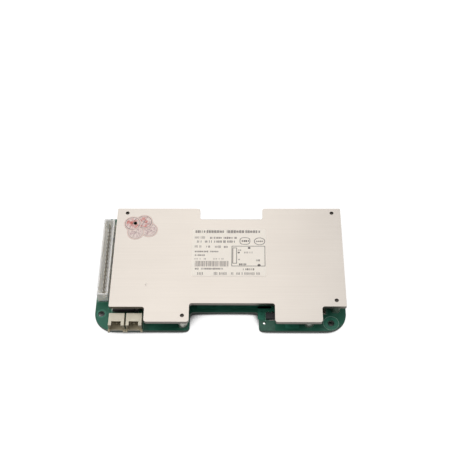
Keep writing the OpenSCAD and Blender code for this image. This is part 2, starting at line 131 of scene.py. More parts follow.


# 1 on faces that stand upright, 0 on level ones, for sheets whose cut edges look unlike their faces, and
# for the plate's painted shade on its upright faces.
def edgeShare(tree, steepest=0.4):
    geometry = addNode(tree, "ShaderNodeNewGeometry")
    normal = addNode(tree, "ShaderNodeSeparateXYZ", {}, {0: geometry.outputs["Normal"]})
    level = addNode(tree, "ShaderNodeMath", {"operation": "ABSOLUTE"}, {0: normal.outputs["Z"]})
    upright = addNode(tree, "ShaderNodeMath", {"operation": "LESS_THAN", 1: steepest},
                      {0: level.outputs[0]})
    return upright.outputs[0]


# 1060 aluminium sheet, brushed along its length and left bare: a soft, wide sheen with fine long
# streaks on its two faces, and a torn grain up and down its sheared edges, darker there as painted shade.
def brushedAluminium():
    look = {"colour": "#BEB8B2", "shade": "#B8B2AC", "edge": "#77736D", "edgeShade": "#5F5B56",
            "roughness": (0.33, 0.39), "steady": 0.36, "streakMm": (34, 0.4, 8), "cloudMm": (34, 22, 20),
            "tornMm": (0.25, 0.25, 2.5), "cloudShare": 0.4, "span": (0.35, 0.65), "reliefMm": 0.006}
    material, tree, shader, coords = startMaterial("brushedAluminiumSheet", look["colour"],
                                                   look["steady"], 1.0)
    # real brush lines are finer, about 0.1 mm, and wouldn't show
    streak = grain(tree, coords, look["streakMm"], detail=4, rough=0.6)
    cloud = grain(tree, coords, look["cloudMm"], detail=1)
    cloudPart = addNode(tree, "ShaderNodeMath", {"operation": "MULTIPLY", 1: look["cloudShare"]},
                        {0: cloud})
    both = addNode(tree, "ShaderNodeMath", {"operation": "MULTIPLY_ADD", 1: 1 - look["cloudShare"]},
                   {0: streak, 2: cloudPart.outputs[0]})
    face = blendTones(tree, both.outputs[0], (look["shade"], look["colour"]), look["span"])
    # the upright faces take the darker edge tones: painted shade
    torn = grain(tree, coords, look["tornMm"], detail=3)
    edge = blendTones(tree, torn, (look["edgeShade"], look["edge"]), (0, 1))
    whole = addNode(tree, "ShaderNodeMix", {"data_type": "RGBA"}, {0: edgeShare(tree), 6: face, 7: edge})
    tree.links.new(whole.outputs[2], shader.inputs["Base Color"])
    steerShader(tree, shader, streak, roughness=look["roughness"], reliefMm=look["reliefMm"])
    return material


# Round film seal on a pale pink ground: a dark ring near the rim, a cross of thin lines inside it
# and smudged red print. The attribute carries radius, turn and how strongly the seal is printed.
def sealFilm():
    look = {
        "ground": "#E6D8D2", "rim": "#DDC0B8", "line": "#4B383A", "red": "#CB6F66", "lilac": "#C0A4A6",
        "rimSpan": (0.84, 1.0),
        # a noise's grain in mm, its detail, where it starts and ends, and its lowest value
        "patterns": {"worn": (1.1, 3, 0.35, 0.60, 0.55), "smudge": (1.5, 3, 0.42, 0.62, 0.0),
                     "spots": (0.9, 2, 0.44, 0.58, 0.0)},
        # a step's name, its operation and what it works on: numbers, or names of earlier steps
        "steps": [
            ("ring", "COMPARE", "radius", 0.85, 0.036),
            ("angle", "MULTIPLY_ADD", "turn", 4 * math.pi, 0.9), ("wave", "SINE", "angle"),
            ("slope", "ABSOLUTE", "wave"), ("offLine", "MULTIPLY", "radius", "slope"),
            ("cross", "LESS_THAN", "offLine", 0.055), ("inRing", "LESS_THAN", "radius", 0.83),
            ("spokes", "MULTIPLY", "cross", "inRing"), ("paleSpokes", "MULTIPLY", "spokes", 0.85),
            ("drawn", "MAXIMUM", "ring", "paleSpokes"), ("ink", "MULTIPLY_ADD", "tone", 0.45, 0.45),
            ("faded", "MULTIPLY", "drawn", "worn"), ("line", "MULTIPLY", "faded", "ink"),
            ("within", "LESS_THAN", "radius", 0.74), ("fullTone", "MULTIPLY", "tone", "tone"),
            ("smudged", "MULTIPLY", "smudge", "within"), ("red", "MULTIPLY", "smudged", "fullTone"),
            ("spotted", "MULTIPLY", "spots", "within"), ("lilac", "MULTIPLY", "spotted", 0.85)]}
    material, tree, shader, coords = startMaterial("printedSealFilm", look["ground"], roughness=0.5)
    place = addNode(tree, "ShaderNodeAttribute", {"attribute_name": "sealPlace"})
    parts = addNode(tree, "ShaderNodeSeparateXYZ", {}, {0: place.outputs["Vector"]}).outputs
    sockets = dict(zip(("radius", "turn", "tone"), parts))
    for name, (size, detail, start, end, lowest) in look["patterns"].items():
        spread = addNode(tree, "ShaderNodeMapRange", {"From Min": start, "From Max": end, "To Min": lowest},
                         {"Value": grain(tree, coords, size, detail)})
        sockets[name] = spread.outputs["Result"]
    for name, operation, *terms in look["steps"]:
        settings = {i: term for i, term in enumerate(terms) if not isinstance(term, str)}
        links = {i: sockets[term] for i, term in enumerate(terms) if isinstance(term, str)}
        step = addNode(tree, "ShaderNodeMath", {"operation": operation, **settings}, links)
        sockets[name] = step.outputs[0]
    film = blendTones(tree, sockets["radius"], (look["ground"], look["rim"]), look["rimSpan"])
    for tint in ("lilac", "red", "line"):
        printed = addNode(tree, "ShaderNodeMix", {"data_type": "RGBA", 7: linear(look[tint])},
                          {0: sockets[tint], 6: film})
        film = printed.outputs[2]
    tree.links.new(film, shader.inputs["Base Color"])
    return material


# Glass-epoxy laminate under green solder mask: half-glossy lacquer, copper showing as a paler green,
# and the sawn fibreglass of the edges bare and dull.
def solderMask():
    look = {"mask": "#245A48", "copper": "#2B6251", "edge": "#6C7670", "roughness": (0.38, 0.8),
            "pourMm": (7, 5, 9), "pourEdge": (0.50, 0.515), "weaveMm": 0.5, "reliefMm": 0.006}
    material, tree, shader, coords = startMaterial("greenSolderMask", look["mask"], look["roughness"][0],
                                                   IOR=1.52, Specular_IOR_Level=0.22)
    pour = grain(tree, coords, look["pourMm"], detail=0)
    mask = blendTones(tree, pour, (look["mask"], look["copper"]), look["pourEdge"])
    isEdge = edgeShare(tree)
    whole = addNode(tree, "ShaderNodeMix", {"data_type": "RGBA", 7: linear(look["edge"])},
                    {0: isEdge, 6: mask})
    tree.links.new(whole.outputs[2], shader.inputs["Base Color"])
    steerShader(tree, shader, isEdge, roughness=look["roughness"])
    steerShader(tree, shader, grain(tree, coords, look["weaveMm"]), reliefMm=look["reliefMm"])
    return material


# One material in two close tones that wander over its grain. Its roughness is one value or a pair that
# follows the grain, and its relief comes from the same grain or, where a tooth is given, from that.
def grainedSurface(name, shade, colour, rough, grainMm, reliefMm, detail=3, toothMm=None, metallic=0.0,
                   sockets=None):
    wanders = isinstance(rough, tuple)
    material, tree, shader, coords = startMaterial(name, colour, rough[0] if wanders else rough, metallic,
                                                   **(sockets or {}))
    pattern = grain(tree, coords, grainMm, detail)
    steerShader(tree, shader, pattern, (shade, colour), rough if wanders else None)
    relief = grain(tree, coords, toothMm, detail=3) if toothMm else pattern
    steerShader(tree, shader, relief, reliefMm=reliefMm)
    return material


# Settings that several rows share.
dull = {"detail": 4, "sockets": {"Specular_IOR_Level": 0.3}}
lacquer = {"sockets": {"IOR": 1.52, "Specular_IOR_Level": 0.3}}
glow = {"IOR": 1.53, "Subsurface_Weight": 0.9, "Subsurface_Scale": 0.004,
        "Subsurface_Radius": (1.0, 0.95, 0.85)}
milky = {"toothMm": 0.25, "sockets": glow}
filled = {"toothMm": 0.25, "sockets": {**glow, "Subsurface_Weight": 0.05}}
metal = {"metallic": 1.0, "detail": 4}

# Name, two tones, roughness or its two ends, size of the grain and height of the relief in mm, the rest
surfaces = {
    # white self-adhesive paper, coated and matte: a faint fibre mottle, no gloss
    "label": ("coatedLabelPaper", "#F6EFE6", "#FCF6ED", 0.7, (0.5, 0.35, 0.5), 0.006, dull),
    # thermal-transfer ink on paper: grey-black, worn into the fibre, and fainter where less was laid
    "ink": ("thermalTransferInk", "#4A4547", "#7C7573", 0.55, 0.35, 0, {}),
    "faintInk": ("wornTransferInk", "#827A77", "#ABA29D", 0.55, 0.35, 0, {}),
    # copper under the green lacquer, paler because bright metal lies beneath
    "copperUnderMask": ("maskedCopper", "#296754", "#367A66", 0.38, 3, 0, lacquer),
    # tinned pad, half dull, in a dark greyish green that is painted shade and a painted reflection of the
    # board round it
    "pad": ("fluxDulledTin", "#2D5144", "#3D6556", (0.3, 0.6), 1.6, 0.03, dull),
    # silkscreen ink on the board: matte, thin, a little uneven, its white dimmed to a pale green as painted
    # shade
    "boardPrint": ("thinBoardPrint", "#5F8E7D", "#93B4A5", 0.7, 0.4, 0, {}),
    # natural nylon 66, injection moulded: milky, waxy, slightly lit from within
    "whiteNylon": ("naturalNylonShroud", "#EEECE6", "#F7F5EF", 0.46, 4, 0.004, milky),
    # the same in an ivory grade with more filler, and its cavity in darker tones that are painted shade
    "ivoryNylon": ("ivoryNylonHousing", "#CDC6B4", "#DAD3C1", 0.46, 4, 0.004, filled),
    "nylonCavity": ("stainedNylonCavity", "#90866E", "#A1977D", 0.46, 4, 0.004, filled),
    # drawn brass pins under tin that has tarnished a little
    "pin": ("tarnishedTinPin", "#ABA69D", "#CBC6BD", (0.35, 0.5), 0.6, 0.008, metal),
    # the same pins in the side-entry headers, darkened brown as painted shade in their cavity
    "portPin": ("fluxStainedPin", "#8F8672", "#ADA38F", (0.45, 0.6), 0.6, 0.008, metal),
    # turned brass spacers under dull nickel
    "spacer": ("nickelPlatedSpacer", "#A09F98", "#B9B8B1", (0.3, 0.45), (0.3, 0.3, 0.9), 0.008, metal),
    # dark steel screws; their dark tone paints the shade in the plate's holes where their tips show
    "screw": ("blackOxideSteel", "#55504D", "#6A6561", (0.45, 0.6), 0.6, 0.008, metal),
    # transfer-moulded epoxy packages: a fine spark-eroded skin
    "epoxy": ("mouldedBlackEpoxy", "#1D1D20", "#2B2B2F", 0.55, 0.3, 0.012, {}),
    # leads and tabs under matte tin
    "tinLead": ("tinPlatedLead", "#A6A6A1", "#C8C8C3", (0.3, 0.5), 0.6, 0.008, metal),
    # soft filled silicone sheet: chalky grey, slightly pitted
    "silicone": ("greyThermalSilicone", "#7C878F", "#8F9AA2", 0.75, 0.8, 0.03, {}),
    # hot-dipped copper bars: lumpy, warm silver
    "bar": ("tinnedCopperBar", "#AFA793", "#CBC4B1", (0.3, 0.5), (2, 1, 1), 0.03, metal),
    # dull strip of manganese-copper alloy
    "shunt": ("resistanceAlloyStrip", "#6D675E", "#857F75", (0.35, 0.5), 0.6, 0.008, metal),
    # heat-shrunk PET sleeve: smooth and slightly wavy
    "sleeve": ("shrunkBlackSleeve", "#232124", "#302E31", 0.34, 1.2, 0.01, {}),
    # drawn aluminium can, seen at the capacitor's ends
    "can": ("drawnAluminiumCan", "#A6A6A3", "#C2C2BE", (0.3, 0.4), (0.5, 1.5, 1.5), 0.008, metal),
    # pressed and fired ferrite: dark grey, dull and grainy
    "ferrite": ("pressedFerrite", "#39393B", "#4A4A4C", 0.7, 0.35, 0.02, {}),
    # nickel-plated crystal can, the brightest metal on the board
    "crystal": ("nickelPlatedCan", "#AFAFA9", "#CDCDC7", (0.22, 0.35), 0.6, 0.008, metal),
    # glazed face of chip resistors and the fired body of chip capacitors
    "resistor": ("blackGlazedCeramic", "#1B1B1D", "#28282A", 0.3, 0.4, 0.006, {}),
    "ceramic": ("firedTanCeramic", "#94784F", "#A98C60", 0.5, 0.3, 0.01, {}),
    # grey stripe printed down the capacitor's sleeve
    "sleevePrint": ("greySleevePrint", "#8C8B8A", "#A2A19F", 0.5, 0.5, 0.004, {}),
    # solder: near white where it fills the pad's hole, a painted glint; satin and dimpled on the joints
    "brightSolder": ("freshSolder", "#E3E8E2", "#F2F5F0", (0.12, 0.25), 0.4, 0.01, metal),
    "solder": ("leadFreeSolder", "#A8A9A6", "#CDCECB", (0.16, 0.38), 0.7, 0.03, metal),
}
materials = {key: grainedSurface(*row, **more) for key, (*row, more) in surfaces.items()}
materials.update(plate=brushedAluminium(), seal=sealFilm(), board=solderMask())
print("materials made:", len(materials))


def addObject(name, data):
    added = bpy.data.objects.new(name, data)
    bpy.context.scene.collection.objects.link(added)
    return added


def shadeSmooth(mesh, angle):
    mesh.polygons.foreach_set("use_smooth", np.ones(len(mesh.polygons), bool))
    mesh.set_sharp_from_angle(angle=math.radians(angle))


# Puts vertex and quad arrays into a mesh object; doubled points, as at poles, are merged after.
def makePiece(name, verts, quads, materialName, slotName):
    mesh = bpy.data.meshes.new(name)
    quads = np.asarray(quads, np.int32)
    mesh.vertices.add(len(verts))
    mesh.vertices.foreach_set("co", np.asarray(verts, np.float32).ravel())
    mesh.loops.add(quads.size)
    mesh.loops.foreach_set("vertex_index", quads.ravel())
    mesh.polygons.add(len(quads))
    mesh.polygons.foreach_set("loop_start", np.arange(0, quads.size, 4, dtype=np.int32))
    mesh.update(calc_edges=True)
    mesh.validate()
    body = bmesh.new()
    body.from_mesh(mesh)
    bmesh.ops.remove_doubles(body, verts=body.verts, dist=newMerge)
    bmesh.ops.recalc_face_normals(body, faces=body.faces)
    body.to_mesh(mesh)
    body.free()
    shadeSmooth(mesh, sharpAngle)
    mesh.materials.append(materials[materialName])
    piece = addObject(name, mesh)
    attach(piece, "root")
    return piece


# Quads of a grid of rows by columns, wrapped round in either direction where asked.
def gridQuads(rows, columns, wrapRows=False, wrapColumns=False):
    r = np.arange(rows if wrapRows else rows - 1)
    c = np.arange(columns if wrapColumns else columns - 1)
    a, b = np.meshgrid(r, c, indexing="ij")
    a2, b2 = (a + 1) % rows, (b + 1) % columns
    corners = [a * columns + b, a * columns + b2, a2 * columns + b2, a2 * columns + b]
    return np.stack(corners, -1).reshape(-1, 4)


# Several shapes as one: points are stacked and each shape's quads are shifted past those before it.
def joinShapes(shapes):
    starts = np.cumsum([0] + [len(v) for v, q in shapes[:-1]])
    return (np.concatenate([v for v, q in shapes]),
            np.concatenate([q + start for (v, q), start in zip(shapes, starts)]))


# Closed boxes: every low corner plus each of the eight 0-or-1 steps times its size.
def boxShapes(lows, highs):
    steps = np.array([[x, y, z] for z in (0, 1) for y in (0, 1) for x in (0, 1)], float)
    verts = lows[:, None, :] + steps[None] * (highs - lows)[:, None, :]
    faces = np.array([[0, 2, 3, 1], [4, 5, 7, 6], [0, 1, 5, 4], [2, 6, 7, 3], [0, 4, 6, 2], [1, 3, 7, 5]])
    quads = faces[None] + 8 * np.arange(len(lows))[:, None, None]
    return verts.reshape(-1, 3), quads.reshape(-1, 4)


# Turned shapes: a closed profile of (radius, height) points spun about a vertical axis, copied to
# each centre.
def turnedShapes(centres, profile, around):
    centres = np.atleast_2d(centres)
    profile = np.asarray(profile, float)
    angle = np.linspace(0, 2 * math.pi, around, endpoint=False)
    ring = np.stack([np.cos(angle), np.sin(angle)], -1)
    flat = ring[:, None, :] * profile[None, :, :1]
    height = np.broadcast_to(profile[None, :, 1:], flat.shape[:2] + (1,))
    one = np.concatenate([flat, height], -1).reshape(-1, 3)
    quads = gridQuads(around, len(profile), True, True)
    verts = centres[:, None, :] + one[None]
    quads = quads[None] + len(one) * np.arange(len(centres))[:, None, None]
    return verts.reshape(-1, 3), quads.reshape(-1, 4)


# A flat ribbon with square edges along a line of points: each point is pushed half a width to both
# sides, further at a corner so that the width holds.
def ribbonShape(points, width, low, high, closed=False):
    points = np.asarray(points, float)
    ahead = np.roll(points, -1, 0) - points
    behind = points - np.roll(points, 1, 0)
    if not closed:
        ahead[-1], behind[0] = behind[-1], ahead[0]
    ahead /= np.linalg.norm(ahead, axis=1, keepdims=True)
    behind /= np.linalg.norm(behind, axis=1, keepdims=True)
    along = ahead + behind
    along /= np.linalg.norm(along, axis=1, keepdims=True)
    widen = 1 / np.clip((along * ahead).sum(1, keepdims=True), 0.5, 1)
    side = np.stack([-along[:, 1], along[:, 0]], -1) * widen * width / 2
    left, right = points + side, points - side
    section = np.stack([np.column_stack([flat, np.full(len(flat), z)])
                        for flat, z in ((left, low), (right, low), (right, high), (left, high))], 1)
    quads = gridQuads(len(points), 4, closed, True)
    if not closed:
        last = 4 * (len(points) - 1)
        quads = np.concatenate([quads, [[0, 1, 2, 3], [last + 3, last + 2, last + 1, last]]])
    return section.reshape(-1, 3), quads


# A copy of a CAD solid as a finished piece: doubles merged, flat faces joined, edges rounded.
# pick gets the middles of the faces, in metres, and says which of the given materials each one takes.
def softenedCopy(nodeName, materialNames, edgeMm=0.0, segments=2, pick=None, angle=30):
    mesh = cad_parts[nodeName].data.copy()
    mesh.name = nodeName + "_look"
    body = bmesh.new()
    body.from_mesh(mesh)
    bmesh.ops.remove_doubles(body, verts=body.verts, dist=copyMerge)
    bmesh.ops.dissolve_limit(body, angle_limit=math.radians(flatAngle), verts=body.verts, edges=body.edges)
    body.to_mesh(mesh)
    body.free()
    mesh.materials.clear()
    for materialName in materialNames:
        mesh.materials.append(materials[materialName])
    count = len(mesh.polygons)
    chosen = np.zeros(count, np.int32)
    if pick:
        centres = np.zeros(count * 3)
        mesh.polygons.foreach_get("center", centres)
        chosen = np.asarray(pick(centres.reshape(-1, 3)), np.int32)
    mesh.polygons.foreach_set("material_index", chosen)
    shadeSmooth(mesh, angle)
    mesh.update()
    piece = addObject(nodeName + "_look", mesh)
    if edgeMm:
        bevel = piece.modifiers.new("roundedEdges", "BEVEL")
        bevel.width = edgeMm * mm
        bevel.segments = segments
        bevel.limit_method = "ANGLE"
        bevel.angle_limit = math.radians(angle)
        bevel.harden_normals = True
    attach(piece, "root")
    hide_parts(nodeName)


# Camera: back is the direction from the target to the camera, right and up are turned by the roll.
def placeCamera():
    shot = {"yaw": 2.063, "pitch": 54.417, "roll": -1.624, "distance": 0.50209, "lens": 75.087,
            "sensor": 36, "target": (66.43, 58.645), "shift": (0.0003, -0.0006), "clip": (0.02, 20)}
    yaw, pitch, roll = (math.radians(shot[k]) for k in ("yaw", "pitch", "roll"))
    back = Vector((math.sin(yaw) * math.cos(pitch), -math.cos(yaw) * math.cos(pitch), math.sin(pitch)))
    right = Vector((math.cos(yaw), math.sin(yaw), 0))
    up = back.cross(right)
    turned = Matrix((right * math.cos(roll) + up * math.sin(roll),
                     up * math.cos(roll) - right * math.sin(roll), back))
    target = Vector(onBoard(*shot["target"], plateTop))
    data = bpy.data.cameras.new("viewCamera")
    data.sensor_width, data.lens = shot["sensor"], shot["lens"]
    data.shift_x, data.shift_y = shot["shift"]
    data.clip_start, data.clip_end = shot["clip"]
    camera = addObject("viewCamera", data)
    place = Matrix.Translation(target + back * shot["distance"])
    camera.matrix_world = place @ turned.transposed().to_4x4()
    bpy.context.scene.camera = camera


# 1 for rays that see the background: from the camera, off gloss or through something clear.
def backgroundRays(tree):
    rays = addNode(tree, "ShaderNodeLightPath")
    seen = rays.outputs["Is Camera Ray"]
    for kind in ("Is Glossy Ray", "Is Transmission Ray"):
        either = addNode(tree, "ShaderNodeMath", {"operation": "MAXIMUM"},
                         {0: seen, 1: rays.outputs[kind]})
        seen = either.outputs[0]
    return seen


# A large soft lamp overhead, a smaller one behind and one at each side, in a white room.
def placeLights():
    # place and size in metres, power in watts, colour
    lamps = {"softboxTop": ((-0.14, -0.16, 0.82), 0.8, 1.3, "#FFFCF8"),
             "softboxBack": ((-0.04, 0.45, 0.69), 0.36, 0.47, "#FFFAF2"),
             "softboxRight": ((0.52, 0.05, 0.55), 0.5, 0.65, "#FBFBFF"),
             "softboxLeft": ((-0.55, 0.06, 0.50), 0.5, 2.65, "#FFFDF9")}
    for name, (place, size, power, colour) in lamps.items():
        data = bpy.data.lights.new(name, "AREA")
        data.size = size
        data.energy = power
        data.color = linear(colour)[:3]
        light = addObject(name, data)
        light.location = place
        light.rotation_euler = (-Vector(place)).to_track_quat("-Z", "Y").to_euler()
    room = {"shown": 1.0, "onMatte": 0.32}      # its strength to camera and gloss, and to matte faces
    world = bpy.data.worlds.new("whiteRoom")
    world.use_nodes = True
    tree = world.node_tree
    strength = addNode(tree, "ShaderNodeMapRange", {"To Min": room["onMatte"], "To Max": room["shown"]},
                       {"Value": backgroundRays(tree)})
    background = tree.nodes["Background"]
    background.inputs["Color"].default_value = (1, 1, 1, 1)
    tree.links.new(strength.outputs["Result"], background.inputs["Strength"])
    bpy.context.scene.world = world
    bpy.context.scene.view_settings.view_transform = "Standard"


# Pale paper floor: part of its white is its own light, so it reads white and keeps a soft shadow.
def layFloor():
    sweep = {"half": 3.0, "matte": "#707070", "rough": 0.9, "own": 0.97, "reach": 0.03,
             "cover": (0.28, 0.43)}
    u = np.linspace(-sweep["half"], sweep["half"], 3)
    x, y = np.meshgrid(u, u, indexing="ij")
    verts = np.stack([x, y, np.zeros_like(x)], -1).reshape(-1, 3)
    mesh = bpy.data.meshes.new("paperFloor")
    mesh.from_pydata(verts.tolist(), [], gridQuads(3, 3)[:, ::-1].tolist())
    material, tree, shader, coords = startMaterial("paleFloorPaper", sweep["matte"], sweep["rough"],
                                                   Specular_IOR_Level=0.0)
    # under the part the paper's own light is cut by ambient occlusion, a painted shadow; beside it the
    # paper is fully lit
    cover = addNode(tree, "ShaderNodeAmbientOcclusion", {"samples": 16, "Distance": sweep["reach"]})
    clear = addNode(tree, "ShaderNodeMapRange",
                    {"From Min": sweep["cover"][0], "From Max": sweep["cover"][1]},
                    {"Value": cover.outputs["AO"]})
    shown = addNode(tree, "ShaderNodeMath", {"operation": "MULTIPLY"},
                    {0: backgroundRays(tree), 1: clear.outputs["Result"]})
    own = addNode(tree, "ShaderNodeMath", {"operation": "MULTIPLY", 1: sweep["own"]},
                  {0: shown.outputs[0]})
    glow = addNode(tree, "ShaderNodeEmission", {}, {"Strength": own.outputs[0]})
    total = addNode(tree, "ShaderNodeAddShader", {}, {0: shader.outputs[0], 1: glow.outputs[0]})
    tree.links.new(total.outputs[0], tree.nodes["Material Output"].inputs["Surface"])
    mesh.materials.append(material)
    addObject("paperFloor", mesh)


placeCamera()
placeLights()
layFloor()
print("camera, lamps and floor placed")


# The CAD solids that are shown as they are only change their material.
shownAsTheyAre = {"board": ["pcb"], "pad": ["battery_pad_plating", "load_pad_plating"], "label": ["label"],
                  "tinLead": ["supply_capacitor_leads"],
                  "spacer": ["support_pillar", "spacer_1", "spacer_2", "spacer_3", "spacer_4"]}
for materialName, nodeNames in shownAsTheyAre.items():
    for nodeName in nodeNames:
        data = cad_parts[nodeName].data
        data.materials.clear()
        data.materials.append(materials[materialName])

# Solids of one material that get rounded edges: material, slot, radius of the edges in mm, names
roundedSolids = [
    ("whiteNylon", "header_nylon", 0.12, ["balance_header"]),
    ("portPin", "tinned_pin", 0.0, ["port_header_left_pins", "port_header_right_pins"]),
    ("pin", "tinned_pin", 0.0, ["balance_header_pins"]), ("screw", "screw_steel", 0.15, ["spacer_screws"]),
    ("solder", "solder", 0.0, ["solder_joints"]), ("crystal", "crystal_can", 0.2, ["crystal"]),
    ("ferrite", "ferrite", 0.12, ["supply_inductor"]),
    ("silicone", "thermal_silicone", 0.3, ["thermal_pad_front", "thermal_pad_back"]),
    ("bar", "tinned_copper", 0.15, ["drain_bar", "source_bar_front", "source_bar_back"])]
plateEdge = {"radius": 0.22, "angle": 9}      # so small an angle rounds the bends of its notches too
softenedCopy("heatsink_plate", ["plate"], plateEdge["radius"], angle=plateEdge["angle"])
for materialName, slotName, radius, nodeNames in roundedSolids:
    for nodeName in nodeNames:
        softenedCopy(nodeName, [materialName], radius)
for number in range(1, 5):
    softenedCopy("shunt_%d" % number, ["shunt"], edgeMm=0.06, segments=1)


# Faces of a package that lie outside its moulded body are its leads or its tab.
def outsideBody(low, high):
    play = 0.01 * mm
    low, high = np.array(low) - play, np.array(high) + play
    return lambda c: ~np.all((c >= low) & (c <= high), axis=1)


# The cavity of each side-entry header takes darker brownish tones, painted shade; its outside is plain
# ivory.
def dressPorts():
    port = {"sideWall": 0.4, "front": 0.35, "edge": 0.1}
    inset = np.array([port["sideWall"], port["front"], port["sideWall"]]) * mm
    for side in ("left", "right"):
        low, high = boxOf("port_header_" + side)
        softenedCopy("port_header_" + side, ["nylonCavity", "ivoryNylon"], port["edge"],
                     pick=outsideBody(low + inset, high - inset))


# The front row's tabs point to the back of the board and the back row's to its front.
def dressTransistors():
    case = {"count": 12, "front": 6, "bodyLength": 9.0, "tabReach": 1.4}
    for number in range(1, case["count"] + 1):
        low, high = boxOf("mosfet_%d" % number)
        if number <= case["front"]:
            start = high[1] - (case["tabReach"] + case["bodyLength"]) * mm
        else:
            start = low[1] + case["tabReach"] * mm
        end = start + case["bodyLength"] * mm
        softenedCopy("mosfet_%d" % number, ["epoxy", "tinLead"],
                     pick=outsideBody((low[0], start, low[2]), (high[0], end, high[2])))


# Leads stand out of a body by so many millimetres at its low x, low y, high x and high y.
def dressChips():
    leads = {"monitor_chip": (1, 1, 1, 1), "controller_chip": (1, 1, 1, 1),
             "driver_chip_1": (0, 1.05, 0, 1.05), "driver_chip_2": (0, 1.05, 0, 1.05),
             "surge_diode_1": (0.5, 0, 0.5, 0), "surge_diode_2": (0.5, 0, 0.5, 0),
             "sense_transistor": (0, 0.4, 0, 1.3)}
    for name, (x0, y0, x1, y1) in leads.items():
        low, high = boxOf(name)
        body = outsideBody(low + np.array([x0, y0, 0]) * mm, high - np.array([x1, y1, 0]) * mm)
        softenedCopy(name, ["epoxy", "tinLead"], pick=body)


# Small parts that are one node each are split by the heights or lengths at which their metal shows.
def dressSmallParts():
    small = {"footTop": 0.09, "leadTop": 0.6, "play": 0.02, "resistorMiddle": 1.6, "glazedHalf": 1.1,
             "sleeveStart": 0.7, "sleeveAngle": 40}
    resistorX = boxOf("balance_resistors")[0][0] + small["resistorMiddle"] * mm
    sleeveX = boxOf("supply_capacitor")[0][0] + small["sleeveStart"] * mm

    def isLead(c):
        up = c[:, 2] - boardTop
        return (up < small["footTop"] * mm) | (np.abs(up - small["leadTop"] * mm) < small["play"] * mm)

    softenedCopy("balance_transistors", ["epoxy", "tinLead"], pick=isLead)
    softenedCopy("balance_resistors", ["resistor", "tinLead"],
                 pick=lambda c: np.abs(c[:, 0] - resistorX) > small["glazedHalf"] * mm)
    softenedCopy("ceramic_capacitors", ["ceramic"])
    softenedCopy("supply_capacitor", ["sleeve", "can"], angle=small["sleeveAngle"],
                 pick=lambda c: c[:, 0] < sleeveX)


dressPorts()
dressTransistors()
dressChips()
dressSmallParts()
print("CAD solids dressed:", len(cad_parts))


# Each point keeps its radius as a share of the seal's, its angle as a share of a turn, and the tone.
def storeSealPlaces(piece, centre, radius, tone):
    mesh = piece.data
    co = np.zeros(len(mesh.vertices) * 3)
    mesh.vertices.foreach_get("co", co)
    flat = co.reshape(-1, 3)[:, :2] - centre[:2]
    share = np.hypot(flat[:, 0], flat[:, 1]) / radius
    angle = np.arctan2(flat[:, 1], flat[:, 0]) / (2 * math.pi)
    attribute = mesh.attributes.new("sealPlace", "FLOAT_VECTOR", "POINT")
    places = np.column_stack([share, angle, np.full(len(share), tone)])
    attribute.data.foreach_set("vector", places.ravel())


# Seal film: a thin coin in polar places about a centre h, from an inner radius a out to the rim,
# which lies at d.u + sqrt(R^2 - |d|^2 + (d.u)^2) from h, with d from h to the coin's own centre.
# Its top falls away at the rim; the pierced seal starts at the hole instead of at its middle. A ray
# that meets the hole of radius r at c, as seen from h, stops at c.u - sqrt(r^2 - |c|^2 + (c.u)^2).
def layPrintedSeals():
    seals = {"diameter": 9.2, "hole": (18.1, 60.2), "holeRadius": 1.15, "inset": 0.02, "rimFall": 0.12,
             "rimPower": 10, "ripple": 0.003, "waves": (7, 6), "around": 128, "rings": 26,
             # place, height of the film, strength of the print
             "films": [((16.65, 60.0), 0.145, 1.0), ((22.75, 60.95), 0.12, 0.9),
                       ((18.55, 54.35), 0.10, 0.15), ((25.75, 55.9), 0.08, 0.25)]}
    radius = (seals["diameter"] / 2 - seals["inset"]) * mm
    turn = np.linspace(0, 2 * math.pi, seals["around"], endpoint=False)
    out = np.stack([np.cos(turn), np.sin(turn)], -1)
    hole, holeRadius = onBoard(*seals["hole"])[:2], seals["holeRadius"] * mm
    outward, sideways = seals["waves"]
    for index, (place, height, tone) in enumerate(seals["films"]):
        centre = onBoard(*place)[:2]
        pierced = index == 0
        middle = hole if pierced else centre
        start = holeRadius if pierced else 0.0
        toCentre = centre - middle
        along = out @ toCentre
        reach = along + np.sqrt(radius ** 2 - toCentre @ toCentre + along ** 2)
        if not pierced:
            toHole = hole - centre
            alongHole = out @ toHole
            inside = holeRadius ** 2 - toHole @ toHole + alongHole ** 2
            meets = (inside > 0) & (alongHole > 0)
            reach = np.where(meets, np.minimum(reach, alongHole - np.sqrt(np.abs(inside))), reach)
        share = np.linspace(0, 1, seals["rings"])[:, None]
        flat = middle + out[None] * (start + share * (reach - start))[..., None]
        away = np.linalg.norm(flat - centre, axis=-1) / radius
        ripple = seals["ripple"] * mm * np.sin(outward * away + sideways * turn)
        top = plateTop + height * mm * (1 - seals["rimFall"] * away ** seals["rimPower"]) + ripple
        low = np.concatenate([flat, np.full(flat.shape[:2] + (1,), plateTop)], -1)
        high = np.concatenate([flat, top[..., None]], -1)
        verts = np.concatenate([low[::-1], high]).reshape(-1, 3)
        quads = gridQuads(2 * seals["rings"], seals["around"], True, True)
        piece = makePiece("sealFilm_%d" % (index + 1), verts, quads, "seal", "seal_film")
        storeSealPlaces(piece, centre, radius, tone)
        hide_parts("warranty_seals")


layPrintedSeals()


# Marks of one row of print, as boxes (x0, y0, x1, y1) in board millimetres. Each place is a small hatch
# of upright bars at 0, 1/2 and 1 of its width, all of one seeded length; a seeded share is left out.
def rowOfMarks(x0, x1, y, height, pitch, stroke=0.3):
    hatch = {"width": 0.78, "lengths": (0.7, 0.95), "kept": 0.77}      # shares of pitch, height and all
    place = np.arange(x0, x1 - 0.5 * pitch, pitch)
    width = hatch["width"] * pitch - stroke
    tall = height * np.repeat(rng.uniform(*hatch["lengths"], (len(place), 1)), 3, 1)
    foot = y - tall / 2
    across = place[:, None] + width * np.array([0.0, 0.5, 1.0])
    upright = np.stack([across, foot, across + stroke, foot + tall], -1)
    return upright[rng.uniform(size=tall.shape) < hatch["kept"]].reshape(-1, 4)


